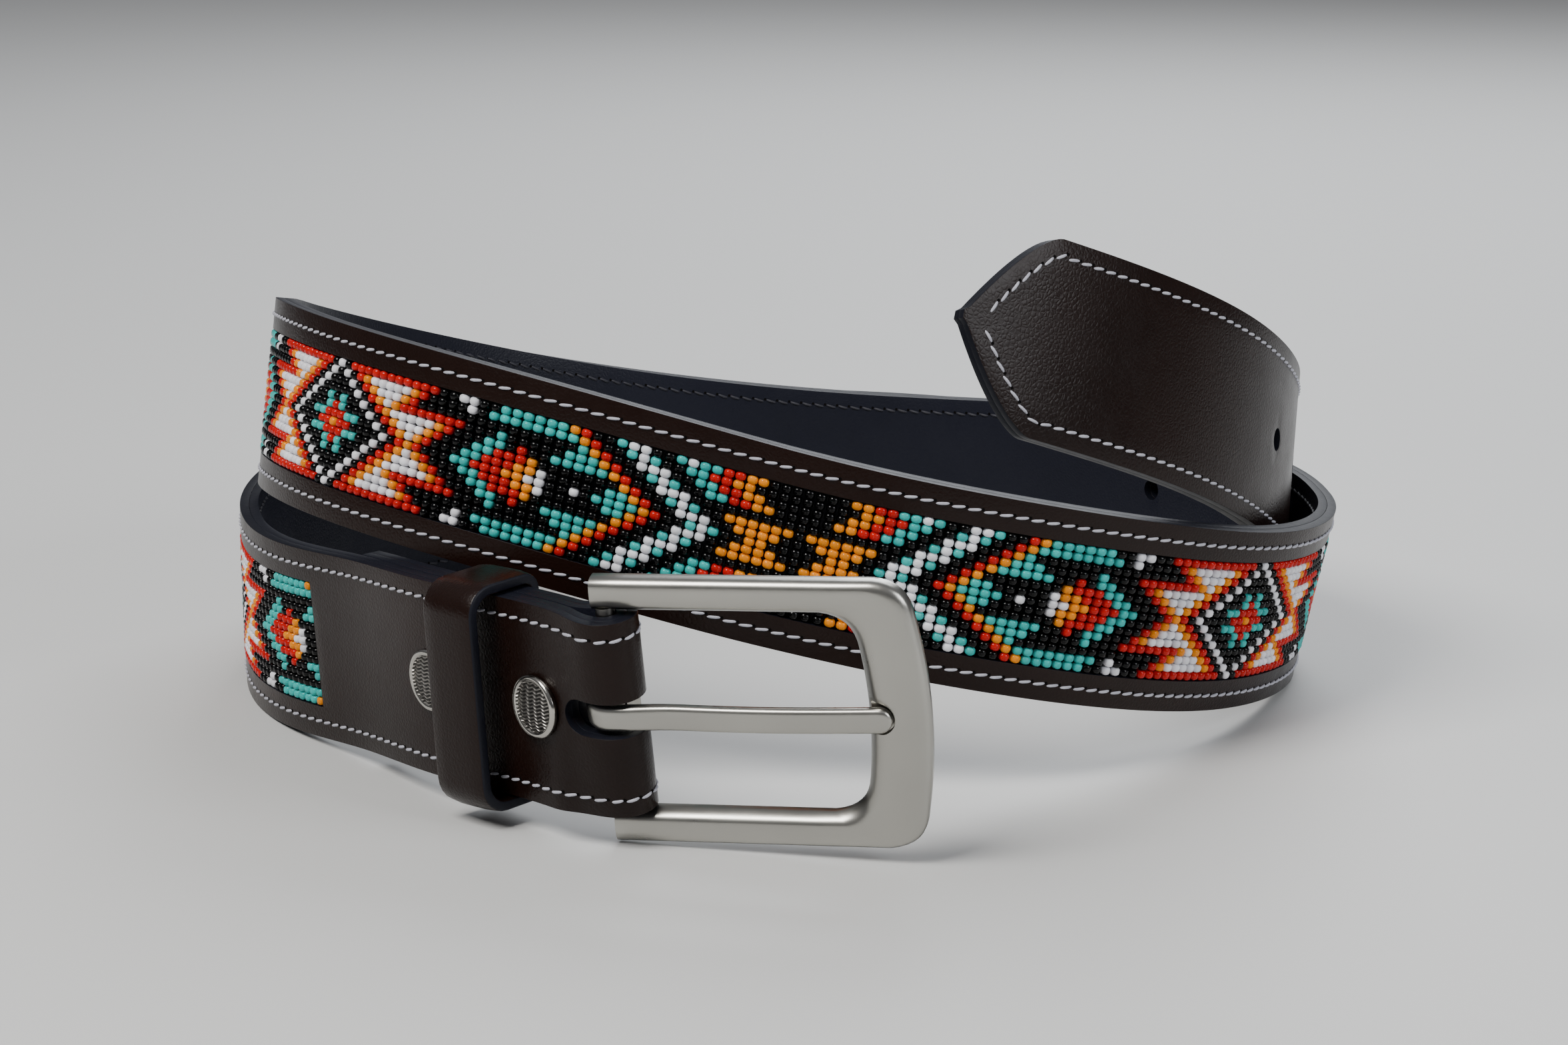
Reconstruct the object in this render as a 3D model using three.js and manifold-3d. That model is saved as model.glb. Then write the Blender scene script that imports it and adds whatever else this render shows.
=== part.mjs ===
// A beaded leather belt, unfastened and lying on its lower edge in a loose open coil.
// Millimetres, Z up. The buckle end is in front, and the strap runs clockwise from it, seen from above.
import * as THREE from 'three';
import { mergeVertices } from 'three/addons/utils/BufferGeometryUtils.js';
import Module from 'manifold-3d';

const wasm = await Module();
wasm.setup();

// Strap: a lining and a face, sewn together, with a shallow window for the bead panel in the face.
const strapLength = 1284;
const strapWidth = 38;
const liningThickness = 1.6;
const faceThickness = 1.9;
const gap = 0.3;
const pointLength = 18;
const pointEndWidth = 1.6;
const pointFullness = 1.5;
const foldLength = 76;
const slotLength = 9;
const slotWidth = 8;

// Bead panel
const columnPitch = 2.26;
const columnCount = 411;
const rowPitch = 1.66;
const rowCount = 15;
const panelStart = 91;
const panelProud = 0.2;

// Belt holes, measured back from the point
const holeDiameter = 4.6;
const firstHoleFromPoint = 97;
const holePitch = 25.4;
const holeCount = 5;

// Buckle
const barDiameter = 3.5;
const buckleHeight = 52;
const buckleReach = 58;
const armTail = 2;
const armClearance = 0.5;
const frontBarWidth = 11.3;
const frontBulge = 3.2;
const cornerRadius = 8;
const frameThickness = 4.4;
const frameBevel = 0.8;
const tongueWidth = 4.6;
const tongueThickness = 2.4;
const tongueReach = 51.5;
const tongueBow = 1.2;
const notchHeight = 6.2;
const eyeWall = 1.5;
const eyeSteps = 16;
const prongSteps = 8;
const tipThinning = 0.3;
const notchDepth = 1.7;

// Keeper and screws, measured from the bar
const keeperPlace = 31.5;
const keeperWidth = 13;
const keeperRoom = 5;
const keeperWall = 2;
const screwPlaces = [15.5, 45.5];
const screwCapDiameter = 12;
const screwCapHeight = 1.5;
const screwBackDiameter = 9;
const screwBackHeight = 1.1;
const screwPostDiameter = 5;

// Coil: turn is degrees clockwise from the front, reach is a share of coilRadius, rise is the height of the
// lower edge as a share of strapWidth, and lean is degrees outward at the top.
const coilRadius = 105;
const panelTurn = 53.2;
const bendLength = 13;
const bendAngle = 36;
const bendLean = 8;
const restShare = 0.01;
const coil = [
  { turn: 0, reach: 1.620, rise: 0.190, lean: 2 },
  { turn: 15, reach: 1.270, rise: 0.180, lean: 3 },
  { turn: 30, reach: 1.138, rise: 0.150, lean: 3 },
  { turn: 45, reach: 1.056, rise: 0.095, lean: 3 },
  { turn: 60, reach: 1.056, rise: 0.034, lean: 2 },
  { turn: 90, reach: 1.060, rise: 0, lean: 0 },
  { turn: 120, reach: 1.054, rise: 0, lean: 0 },
  { turn: 150, reach: 1.003, rise: 0, lean: 0 },
  { turn: 180, reach: 0.955, rise: 0, lean: 0 },
  { turn: 210, reach: 0.951, rise: 0, lean: 0 },
  { turn: 240, reach: 0.996, rise: 0, lean: 3 },
  { turn: 270, reach: 1.044, rise: 0.010, lean: 10 },
  { turn: 300, reach: 1.030, rise: 0.160, lean: 15 },
  { turn: 330, reach: 0.986, rise: 0.480, lean: 6 },
  { turn: 360, reach: 0.908, rise: 0.800, lean: 0 },
  { turn: 390, reach: 0.965, rise: 1.110, lean: -7 },
  { turn: 420, reach: 0.999, rise: 1.200, lean: -12 },
  { turn: 450, reach: 1.004, rise: 1.050, lean: -4 },
  { turn: 480, reach: 1.002, rise: 0.660, lean: 5 },
  { turn: 510, reach: 0.950, rise: 0.255, lean: 3 },
  { turn: 540, reach: 0.892, rise: 0.060, lean: 1 },
  { turn: 570, reach: 0.890, rise: 0.060, lean: 1 },
  { turn: 600, reach: 0.938, rise: 0.210, lean: 3 },
  { turn: 630, reach: 0.990, rise: 0.605, lean: 4 },
  { turn: 660, reach: 0.998, rise: 1.245, lean: -4 },
  { turn: 690, reach: 0.990, rise: 1.810, lean: -13 },
  { turn: 720, reach: 1.010, rise: 2.300, lean: -18 },
  { turn: 750, reach: 1.020, rise: 2.750, lean: -20 },
  { turn: 810, reach: 1.030, rise: 3.500, lean: -20 },
];

const strapThickness = liningThickness + gap + faceThickness;
const halfThickness = strapThickness / 2;
const halfWidth = strapWidth / 2;
const liningOuter = liningThickness - halfThickness;
const faceInner = liningOuter + gap;
const panelLength = columnCount * columnPitch;
const windowShare = (rowCount * rowPitch + gap) / strapWidth;
const barRadius = barDiameter / 2;
const loopRadius = barRadius + gap + halfThickness;
const loopHalf = Math.PI * loopRadius / 2;
const legOffset = halfThickness + gap / 2;
const tongueUnder = frameThickness / 2 - notchDepth + gap;
const radians = THREE.MathUtils.degToRad;

// A natural cubic spline through the points (xs, ys).
function spline(xs, ys) {
  const last = xs.length - 1;
  const second = new Array(last + 1).fill(0);
  const work = new Array(last + 1).fill(0);
  for (let i = 1; i < last; i++) {
    const span = xs[i + 1] - xs[i - 1];
    const share = (xs[i] - xs[i - 1]) / span;
    const pivot = share * second[i - 1] + 2;
    const turnOver = (ys[i + 1] - ys[i]) / (xs[i + 1] - xs[i]) - (ys[i] - ys[i - 1]) / (xs[i] - xs[i - 1]);
    second[i] = (share - 1) / pivot;
    work[i] = (6 * turnOver / span - share * work[i - 1]) / pivot;
  }
  for (let i = last - 1; i > 0; i--) {
    second[i] = second[i] * second[i + 1] + work[i];
  }
  return (x) => {
    let k = 0;
    while (k < last - 1 && x > xs[k + 1]) {
      k++;
    }
    const step = xs[k + 1] - xs[k];
    const a = (xs[k + 1] - x) / step;
    const b = 1 - a;
    const bend = (a * a * a - a) * second[k] + (b * b * b - b) * second[k + 1];
    return a * ys[k] + b * ys[k + 1] + bend * step * step / 6;
  };
}

// The middle of the strap, one sample a degree, with the length travelled from the bar.
function traceCoil() {
  const turns = coil.map((row) => row.turn);
  const reach = spline(turns, coil.map((row) => row.reach));
  const rise = spline(turns, coil.map((row) => row.rise));
  const lean = spline(turns, coil.map((row) => row.lean));
  const samples = [];
  for (let turn = turns[0]; turn <= turns[turns.length - 1]; turn++) {
    const radius = coilRadius * reach(turn);
    const place = new THREE.Vector3(-radius * Math.sin(radians(turn)), -radius * Math.cos(radians(turn)), 0);
    const low = strapWidth * Math.max(0, rise(turn) - restShare);
    samples.push({ turn, place, low, lean: radians(lean(turn)) });
  }
  samples.forEach((sample, i) => {
    const before = samples[Math.max(0, i - 1)];
    const after = samples[Math.min(samples.length - 1, i + 1)];
    const climb = Math.atan2(after.low - before.low, after.place.distanceTo(before.place));
    const middle = halfWidth * Math.cos(sample.lean) * Math.cos(climb);
    sample.height = sample.low + middle + halfThickness * Math.abs(Math.sin(sample.lean));
  });
  samples.forEach((sample) => {
    sample.place.z = sample.height;
  });
  let travelled = 0;
  samples.forEach((sample, i) => {
    if (i > 0) {
      travelled += sample.place.distanceTo(samples[i - 1].place);
    }
    sample.travelled = travelled;
  });
  const panelRow = samples.findIndex((sample) => sample.turn > panelTurn);
  const shareOn = panelTurn - samples[panelRow - 1].turn;
  const atPanel = THREE.MathUtils.lerp(samples[panelRow - 1].travelled, samples[panelRow].travelled, shareOn);
  samples.forEach((sample) => {
    sample.travelled += panelStart - atPanel;
  });
  return samples;
}

const trace = traceCoil();

// Place, direction of travel, direction across (up) and direction out of the coil, at a length from the bar.
function frameOnCoil(length) {
  let k = 1;
  while (k < trace.length - 2 && trace[k].travelled < length) {
    k++;
  }
  const from = trace[k - 1];
  const to = trace[k];
  const share = (length - from.travelled) / (to.travelled - from.travelled);
  const place = from.place.clone().lerp(to.place, share);
  const directionAt = (i) => trace[i + 1].place.clone().sub(trace[Math.max(0, i - 1)].place).normalize();
  const along = directionAt(k - 1).lerp(directionAt(k), share).normalize();
  const level = Math.hypot(along.x, along.y);
  const upright = new THREE.Vector3(-along.x * along.z / level, -along.y * along.z / level, level);
  const outward = new THREE.Vector3(-along.y / level, along.x / level, 0);
  const lean = THREE.MathUtils.lerp(from.lean, to.lean, share);
  const across = upright.multiplyScalar(Math.cos(lean)).addScaledVector(outward, Math.sin(lean));
  return { place, along, across, out: across.clone().cross(along) };
}

// The last stretch before the bar bends inward and leans out at the top, so that the buckle faces the front.
function frameAt(length) {
  if (length >= bendLength) {
    return frameOnCoil(length);
  }
  const start = frameOnCoil(bendLength);
  const radius = bendLength / radians(bendAngle);
  const angle = (bendLength - length) / radius;
  const place = start.place.clone().addScaledVector(start.along, -radius * Math.sin(angle));
  place.addScaledVector(start.out, -radius * (1 - Math.cos(angle)));
  const along = start.along.clone().multiplyScalar(Math.cos(angle)).addScaledVector(start.out, Math.sin(angle));
  const upright = start.across.clone();
  const lean = radians(bendLean) * (1 - Math.cos(Math.PI * (1 - length / bendLength))) / 2;
  const across = upright.clone().multiplyScalar(Math.cos(lean)).addScaledVector(upright.cross(along), Math.sin(lean));
  return { place, along, across, out: across.clone().cross(along) };
}

// The folded strap as one path: below -loopHalf the leg behind, then round the bar, then the leg in front.
function frameOnPath(path) {
  const length = Math.max(0, Math.abs(path) - loopHalf);
  const frame = frameAt(length);
  if (Math.abs(path) < loopHalf) {
    const angle = (loopHalf - path) / (2 * loopHalf) * Math.PI;
    const out = frame.out.clone().multiplyScalar(Math.cos(angle)).addScaledVector(frame.along, -Math.sin(angle));
    const place = frame.place.clone().addScaledVector(frame.out, -legOffset).addScaledVector(out, loopRadius);
    return { place, across: frame.across, out };
  }
  const spread = Math.cos(Math.PI * Math.min(1, length / slotLength));
  const offset = legOffset + (loopRadius - legOffset) * (1 + spread) / 2;
  const side = Math.sign(path);
  const place = frame.place.clone().addScaledVector(frame.out, side * offset - legOffset);
  return { place, across: frame.across, out: frame.out.clone().multiplyScalar(side) };
}

function evenSteps(from, to, longest) {
  const count = Math.max(1, Math.ceil((to - from) / longest - 1e-6));
  return Array.from({ length: count }, (_, i) => from + (to - from) * i / count);
}

// Every layer uses the same stations, so that the layers stay apart.
const coarseStep = 9;
const fineStep = 4;
const loopSteps = 8;
const pinSides = 16;
const tipPath = loopHalf + strapLength;
const panelFrom = loopHalf + panelStart;
const panelTo = panelFrom + panelLength;
const slotTo = loopHalf + slotLength;
const bendTo = loopHalf + bendLength;
const pointFrom = tipPath - pointLength;
const stations = [
  ...evenSteps(-loopHalf - foldLength, -bendTo, coarseStep),
  ...evenSteps(-bendTo, -slotTo, fineStep),
  ...evenSteps(-slotTo, -loopHalf, fineStep),
  ...evenSteps(-loopHalf, loopHalf, 2 * loopHalf / loopSteps),
  ...evenSteps(loopHalf, slotTo, fineStep),
  ...evenSteps(slotTo, bendTo, fineStep),
  ...evenSteps(bendTo, panelFrom - gap, coarseStep),
  panelFrom - gap,
  ...evenSteps(panelFrom, panelTo, coarseStep),
  panelTo,
  ...evenSteps(panelTo + gap, pointFrom, coarseStep),
  ...evenSteps(pointFrom, tipPath, fineStep),
  tipPath,
];

function widthShare(path) {
  const into = Math.max(0, path - pointFrom) / pointLength;
  return Math.max(pointEndWidth / strapWidth, 1 - into ** pointFullness);
}

function toGeometry(positions, triangles) {
  const geometry = new THREE.BufferGeometry();
  geometry.setAttribute('position', new THREE.Float32BufferAttribute(positions, 3));
  geometry.setIndex(triangles);
  geometry.computeVertexNormals();
  return geometry;
}

function toSolid(geometry) {
  const bare = geometry.clone();
  bare.deleteAttribute('normal');
  bare.deleteAttribute('uv');
  const merged = mergeVertices(bare, 1e-4);
  const vertProperties = new Float32Array(merged.attributes.position.array);
  const triVerts = new Uint32Array(merged.index.array);
  return new wasm.Manifold(new wasm.Mesh({ numProp: 3, vertProperties, triVerts }));
}

function fromSolid(solid) {
  const mesh = solid.getMesh();
  return toGeometry(Array.from(mesh.vertProperties), Array.from(mesh.triVerts));
}

// A layer of the strap between two offsets, made of the cells between the lines across that keep says are there.
function layer(paths, lines, inner, outer, keep) {
  const positions = [];
  const triangles = [];
  const indices = new Map();
  const corner = (i, j, side) => {
    const key = (i * lines.length + j) * 2 + side;
    if (!indices.has(key)) {
      const frame = frameOnPath(paths[i]);
      const point = frame.place.clone();
      point.addScaledVector(frame.across, lines[j] * halfWidth * widthShare(paths[i]));
      point.addScaledVector(frame.out, side ? outer : inner);
      indices.set(key, positions.length / 3);
      positions.push(point.x, point.y, point.z);
    }
    return indices.get(key);
  };
  const quad = (a, b, c, d) => triangles.push(a, b, c, a, c, d);
  const kept = (i, j) => i >= 0 && j >= 0 && i < paths.length - 1 && j < lines.length - 1 && keep(i, j);
  for (let i = 0; i < paths.length - 1; i++) {
    for (let j = 0; j < lines.length - 1; j++) {
      if (!kept(i, j)) {
        continue;
      }
      quad(corner(i, j, 1), corner(i, j + 1, 1), corner(i + 1, j + 1, 1), corner(i + 1, j, 1));
      quad(corner(i, j, 0), corner(i + 1, j, 0), corner(i + 1, j + 1, 0), corner(i, j + 1, 0));
      if (!kept(i, j - 1)) {
        quad(corner(i, j, 0), corner(i, j, 1), corner(i + 1, j, 1), corner(i + 1, j, 0));
      }
      if (!kept(i, j + 1)) {
        quad(corner(i, j + 1, 0), corner(i + 1, j + 1, 0), corner(i + 1, j + 1, 1), corner(i, j + 1, 1));
      }
      if (!kept(i - 1, j)) {
        quad(corner(i, j, 0), corner(i, j + 1, 0), corner(i, j + 1, 1), corner(i, j, 1));
      }
      if (!kept(i + 1, j)) {
        quad(corner(i + 1, j, 0), corner(i + 1, j, 1), corner(i + 1, j + 1, 1), corner(i + 1, j + 1, 0));
      }
    }
  }
  return toGeometry(positions, triangles);
}

// A round pin through the strap at a length from the bar, centred on an offset out of the coil.
function pinAt(length, radius, reach, offset, sides) {
  const frame = frameAt(length);
  const pin = new THREE.CylinderGeometry(radius, radius, reach, sides);
  pin.applyMatrix4(new THREE.Matrix4().makeBasis(frame.along, frame.out, frame.across));
  const centre = frame.place.clone().addScaledVector(frame.out, offset);
  return pin.translate(centre.x, centre.y, centre.z);
}

// The room that the eye of the tongue turns in, round the bar and as wide as the slot.
function eyeRoom() {
  const frame = frameAt(0);
  const radius = barDiameter / 2 + eyeWall + 2 * gap;
  const room = new THREE.CylinderGeometry(radius, radius, slotWidth, pinSides);
  room.applyMatrix4(new THREE.Matrix4().makeBasis(frame.along, frame.across, frame.out.clone().negate()));
  const centre = frame.place.clone().addScaledVector(frame.out, -legOffset);
  return room.translate(centre.x, centre.y, centre.z);
}

function pierced(geometry) {
  const slotPaths = stations.filter((path) => Math.abs(path) <= slotTo + 1e-6);
  const slotReach = halfThickness + gap / 2;
  const slot = layer(slotPaths, [-slotWidth / strapWidth, slotWidth / strapWidth], -slotReach, slotReach, () => true);
  let solid = toSolid(geometry).subtract(toSolid(slot)).subtract(toSolid(eyeRoom()));
  for (let i = 0; i < holeCount; i++) {
    const length = strapLength - firstHoleFromPoint - i * holePitch;
    solid = solid.subtract(toSolid(pinAt(length, holeDiameter / 2, strapThickness + gap, 0, pinSides)));
  }
  for (const length of screwPlaces) {
    const radius = (screwPostDiameter / 2 + gap) / Math.cos(Math.PI / pinSides);
    solid = solid.subtract(toSolid(pinAt(length, radius, 2 * strapThickness + 6 * gap, -legOffset, pinSides)));
  }
  return fromSolid(solid);
}

const strapLines = [-1, -windowShare, windowShare, 1];
const inWindow = (i) => stations[i] >= panelFrom - gap - 1e-6 && stations[i + 1] <= panelTo + gap + 1e-6;
const faceKeep = (i, j) => j !== 1 || !inWindow(i);
const faceGeometry = pierced(layer(stations, strapLines, faceInner, halfThickness, faceKeep));
const liningGeometry = pierced(layer(stations, strapLines, -halfThickness, liningOuter, () => true));

const panelPaths = stations.filter((path) => path >= panelFrom - 1e-6 && path <= panelTo + 1e-6);
const panelShare = rowCount * rowPitch / strapWidth - gap / strapWidth;
const panelGeometry = layer(panelPaths, [-panelShare, panelShare], faceInner, halfThickness + panelProud, () => true);

function roundedBox(halfX, halfY, radius, steps) {
  const points = [];
  const corners = [[1, 1, 0], [-1, 1, 1], [-1, -1, 2], [1, -1, 3]];
  for (const [signX, signY, quarter] of corners) {
    for (let k = 0; k <= steps; k++) {
      const angle = (quarter + k / steps) * Math.PI / 2;
      const x = signX * (halfX - radius) + radius * Math.cos(angle);
      const y = signY * (halfY - radius) + radius * Math.sin(angle);
      points.push(new THREE.Vector2(x, y));
    }
  }
  return points;
}

// The keeper's walls in the plane across the strap: x is out of the coil, y is up the strap.
function makeKeeper() {
  const back = -2 * legOffset - halfThickness - 2 * gap;
  const front = halfThickness + keeperRoom;
  const halfDeep = (front - back) / 2;
  const halfTall = halfWidth + armClearance;
  const shape = new THREE.Shape(roundedBox(halfDeep + keeperWall, halfTall + keeperWall, keeperWall + 1, 3));
  shape.holes.push(new THREE.Path(roundedBox(halfDeep, halfTall, keeperWall / 4, 2)));
  const geometry = new THREE.ExtrudeGeometry(shape, { depth: keeperWidth, bevelEnabled: false });
  geometry.translate((front + back) / 2, 0, -keeperWidth / 2);
  const frame = frameAt(keeperPlace);
  geometry.applyMatrix4(new THREE.Matrix4().makeBasis(frame.out, frame.across, frame.along));
  return geometry.translate(frame.place.x, frame.place.y, frame.place.z);
}

// A screw as one turned piece: domed cap, post through both legs, and flat back cap.
function makeScrew(length) {
  const outerFace = legOffset + halfThickness + gap;
  const innerFace = -outerFace;
  const capRadius = screwCapDiameter / 2;
  const backRadius = screwBackDiameter / 2;
  const postRadius = screwPostDiameter / 2;
  const profile = [
    new THREE.Vector2(0, innerFace - screwBackHeight),
    new THREE.Vector2(backRadius - 0.5, innerFace - screwBackHeight),
    new THREE.Vector2(backRadius, innerFace - screwBackHeight / 2),
    new THREE.Vector2(backRadius, innerFace),
    new THREE.Vector2(postRadius, innerFace),
    new THREE.Vector2(postRadius, outerFace),
    new THREE.Vector2(capRadius, outerFace),
    new THREE.Vector2(capRadius, outerFace + screwCapHeight / 2),
    new THREE.Vector2(capRadius - 0.8, outerFace + screwCapHeight * 0.9),
    new THREE.Vector2(0, outerFace + screwCapHeight),
  ];
  const geometry = new THREE.LatheGeometry(profile, 20);
  const frame = frameAt(length);
  geometry.applyMatrix4(new THREE.Matrix4().makeBasis(frame.along, frame.out, frame.across));
  const centre = frame.place.clone().addScaledVector(frame.out, -legOffset);
  return geometry.translate(centre.x, centre.y, centre.z);
}

// The buckle lies in a plane through the bar: x is forward from the bar, y is up, z is out of the coil.
function seatBuckle(geometry) {
  const frame = frameAt(0);
  const forward = frame.along.clone().negate();
  geometry.applyMatrix4(new THREE.Matrix4().makeBasis(forward, frame.across, frame.out));
  const centre = frame.place.clone().addScaledVector(frame.out, -legOffset);
  return geometry.translate(centre.x, centre.y, centre.z);
}

function frameOutline(reach, height, radius, bulge) {
  const shape = new THREE.Shape();
  const half = height / 2;
  const square = reach - bulge;
  shape.moveTo(-armTail, -half);
  shape.lineTo(square - radius, -half);
  shape.quadraticCurveTo(square - radius * 0.1, -half + radius * 0.1, square, -half + radius);
  shape.quadraticCurveTo(square + 2 * bulge, 0, square, half - radius);
  shape.quadraticCurveTo(square - radius * 0.1, half - radius * 0.1, square - radius, half);
  shape.lineTo(-armTail, half);
  return shape;
}

// A straight strip with a half-round far end, seen from the front.
function prongOutline(from, to, width) {
  const radius = width / 2;
  const shape = new THREE.Shape();
  shape.moveTo(from, -radius);
  shape.lineTo(to - radius, -radius);
  shape.absarc(to - radius, 0, radius, -Math.PI / 2, Math.PI / 2, false);
  shape.lineTo(from, radius);
  return shape;
}

function makeFrame() {
  const openHeight = strapWidth + 2 * armClearance;
  const openReach = buckleReach - frontBarWidth;
  const outline = frameOutline(buckleReach - frameBevel, buckleHeight - 2 * frameBevel, cornerRadius, frontBulge);
  const opening = frameOutline(openReach + frameBevel, openHeight + 2 * frameBevel, cornerRadius, frontBulge / 2);
  const points = outline.getPoints(6);
  points.push(...opening.getPoints(6).reverse());
  const settings = { bevelThickness: frameBevel, bevelSize: frameBevel, bevelSegments: 2 };
  const depth = frameThickness - 2 * frameBevel;
  const body = new THREE.ExtrudeGeometry(new THREE.Shape(points), { depth, bevelEnabled: true, ...settings });
  body.translate(0, 0, -depth / 2);
  const bar = new THREE.CylinderGeometry(barRadius, barRadius, openHeight + 2, 16);
  const notch = new THREE.ExtrudeGeometry(prongOutline(openReach - notchHeight, tongueReach + gap, notchHeight), {
    depth: frameThickness,
    bevelEnabled: false,
    curveSegments: 6,
  });
  notch.translate(0, 0, tongueUnder - gap);
  const joined = toSolid(body).add(toSolid(bar)).subtract(toSolid(notch));
  return seatBuckle(fromSolid(joined));
}

// The tongue: its side view gives the eye round the bar and the bowed prong, its front view rounds the tip.
function makeTongue() {
  const inner = barRadius + gap;
  const outer = inner + eyeWall;
  const underAt = (x) => tongueUnder + tongueBow * Math.sin(Math.PI * x / tongueReach);
  const topAt = (x) => underAt(x) + tongueThickness * (1 - tipThinning * (x / tongueReach) ** 4);
  const topAngle = Math.asin(Math.min(1, topAt(0) / outer));
  const underAngle = Math.asin(Math.min(1, tongueUnder / outer));
  const topStart = outer * Math.cos(topAngle);
  const underStart = outer * Math.cos(underAngle);
  const points = [];
  for (let k = 0; k <= eyeSteps; k++) {
    const angle = topAngle + (2 * Math.PI + underAngle - topAngle) * k / eyeSteps;
    points.push(new THREE.Vector2(outer * Math.cos(angle), outer * Math.sin(angle)));
  }
  for (let k = 1; k <= prongSteps; k++) {
    const x = THREE.MathUtils.lerp(underStart, tongueReach, k / prongSteps);
    points.push(new THREE.Vector2(x, THREE.MathUtils.lerp(tongueUnder, underAt(x), Math.min(1, k / 2))));
  }
  for (let k = prongSteps; k >= 1; k--) {
    const x = THREE.MathUtils.lerp(topStart, tongueReach, k / prongSteps);
    points.push(new THREE.Vector2(x, topAt(x)));
  }
  const side = new THREE.Shape(points);
  const eye = new THREE.Path();
  eye.absarc(0, 0, inner, 0, Math.PI * 2, true);
  side.holes.push(eye);
  const prong = new THREE.ExtrudeGeometry(side, { depth: tongueWidth, bevelEnabled: false, curveSegments: 8 });
  prong.translate(0, 0, -tongueWidth / 2);
  prong.rotateX(Math.PI / 2);
  const tall = 4 * outer;
  const plan = new THREE.ExtrudeGeometry(prongOutline(-2 * outer, tongueReach, tongueWidth + gap / 10), {
    depth: tall,
    bevelEnabled: false,
    curveSegments: 6,
  });
  plan.translate(0, 0, -tall / 2);
  return seatBuckle(fromSolid(toSolid(prong).intersect(toSolid(plan))));
}

function material(name, color, roughness, metalness) {
  return new THREE.MeshStandardMaterial({ name, color, roughness, metalness });
}

const leather = material('leather', 0x2a1712, 0.42, 0);
const lining = material('lining', 0x191c2a, 0.5, 0);
const beads = material('beads', 0x2c3138, 0.22, 0);
const nickel = material('nickel', 0xbdb8b0, 0.3, 1);

const belt = new THREE.Group();

function addPiece(name, geometry, look) {
  const mesh = new THREE.Mesh(geometry, look);
  mesh.name = name;
  belt.add(mesh);
}

addPiece('strap_lining', liningGeometry, lining);
addPiece('strap_face', faceGeometry, leather);
addPiece('bead_panel', panelGeometry, beads);
addPiece('keeper', makeKeeper(), leather);
screwPlaces.forEach((length, i) => addPiece(`screw_${i + 1}`, makeScrew(length), nickel));
addPiece('buckle_frame', makeFrame(), nickel);
addPiece('buckle_tongue', makeTongue(), nickel);

belt.updateMatrixWorld(true);
const box = new THREE.Box3().setFromObject(belt);
belt.position.set(-(box.min.x + box.max.x) / 2, -(box.min.y + box.max.y) / 2, -box.min.z);

export default belt;
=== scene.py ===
import math
import bpy
import bmesh
import numpy as np
from mathutils import Matrix, Vector


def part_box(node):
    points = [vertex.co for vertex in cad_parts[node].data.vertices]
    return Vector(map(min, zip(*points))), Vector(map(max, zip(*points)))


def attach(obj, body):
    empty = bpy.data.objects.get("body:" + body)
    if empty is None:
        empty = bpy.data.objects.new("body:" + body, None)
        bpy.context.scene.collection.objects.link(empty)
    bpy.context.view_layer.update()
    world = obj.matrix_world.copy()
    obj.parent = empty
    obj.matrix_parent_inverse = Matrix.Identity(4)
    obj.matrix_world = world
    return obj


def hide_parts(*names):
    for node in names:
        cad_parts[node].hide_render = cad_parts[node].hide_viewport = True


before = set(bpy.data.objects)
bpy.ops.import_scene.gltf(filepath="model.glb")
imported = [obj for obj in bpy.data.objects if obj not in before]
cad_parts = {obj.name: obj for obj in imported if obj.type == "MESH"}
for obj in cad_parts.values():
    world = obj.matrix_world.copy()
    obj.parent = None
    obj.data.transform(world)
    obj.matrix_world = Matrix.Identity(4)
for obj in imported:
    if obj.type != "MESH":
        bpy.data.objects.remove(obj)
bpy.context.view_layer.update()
print("beaded belt: frame loaded")

mm = 0.001
scene = bpy.context.scene

# the strap lies on the same route as its solids; lengths in millimetres
strap = {
    "length": 1284, "width": 38, "lining": 1.6, "face": 1.9, "gap": 0.3,
    "point": 18, "pointEnd": 1.6, "pointFullness": 1.5,
    "fold": 76, "slotLength": 9, "slotWidth": 8, "bar": 3.5,
    "panelStart": 91, "columns": 411, "columnPitch": 2.26, "rows": 15, "rowPitch": 1.66,
    "hole": 4.6, "firstHole": 97, "holePitch": 25.4, "holes": 5,
    "coilRadius": 105, "panelTurn": 53.2, "bendLength": 13, "bendAngle": 36, "bendLean": 8, "rest": 0.01,
}

# turn, reach as a share of coilRadius, rise as a share of width, lean in degrees
coil = [
    (0, 1.620, 0.190, 2), (15, 1.270, 0.180, 3), (30, 1.138, 0.150, 3), (45, 1.056, 0.095, 3),
    (60, 1.056, 0.034, 2), (90, 1.060, 0, 0), (120, 1.054, 0, 0), (150, 1.003, 0, 0),
    (180, 0.955, 0, 0), (210, 0.951, 0, 0), (240, 0.996, 0, 3), (270, 1.044, 0.010, 10),
    (300, 1.030, 0.160, 15), (330, 0.986, 0.480, 6), (360, 0.908, 0.800, 0), (390, 0.965, 1.110, -7),
    (420, 0.999, 1.200, -12), (450, 1.004, 1.050, -4), (480, 1.002, 0.660, 5), (510, 0.950, 0.255, 3),
    (540, 0.892, 0.060, 1), (570, 0.890, 0.060, 1), (600, 0.938, 0.210, 3), (630, 0.990, 0.605, 4),
    (660, 0.998, 1.245, -4), (690, 0.990, 1.810, -13), (720, 1.010, 2.300, -18), (750, 1.020, 2.750, -20),
    (810, 1.030, 3.500, -20),
]

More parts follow.
